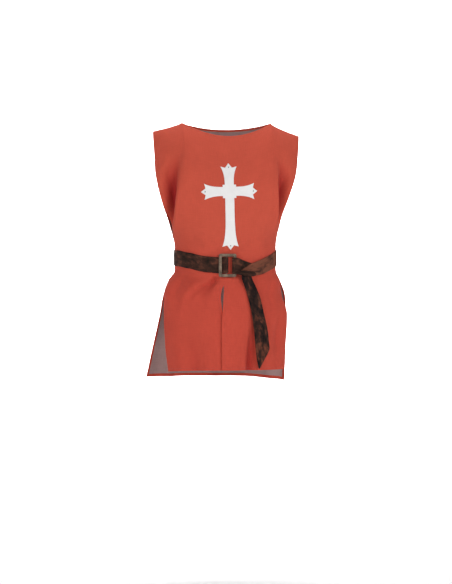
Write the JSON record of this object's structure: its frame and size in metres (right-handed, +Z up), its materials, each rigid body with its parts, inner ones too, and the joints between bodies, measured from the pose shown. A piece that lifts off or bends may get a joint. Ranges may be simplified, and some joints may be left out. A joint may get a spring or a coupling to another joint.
{
  "type": "belted medieval tabard",
  "caption": "Sleeveless open-sided red tabard with a white sewn-on cross, a front skirt slit, and a knotted brown belt with a rectangular bronze buckle.",
  "frame": {"origin": "middle of the neck opening, level with the neck ends of the shoulder seams, where the garment hangs", "axes": "+Z up along the garment's length, -Y out of its front, +X to the right seen from the front"},
  "size_m": [0.355, 0.2541, 0.6072],
  "materials": {
    "tabard_cloth": "matt red woven cloth, grey-mauve on its inner face",
    "cross_felt": "smooth white felt",
    "belt_suede": "mottled brown suede",
    "buckle_metal": "aged bronze, satin"
  },
  "bodies": {
    "root": {"front_panel": "tabard_cloth", "back_panel": "tabard_cloth", "cross": "cross_felt", "belt_band": "belt_suede", "belt_tab": "belt_suede", "belt_knot": "belt_suede", "belt_tail": "belt_suede", "buckle": "buckle_metal"}
  },
  "joints": []
}
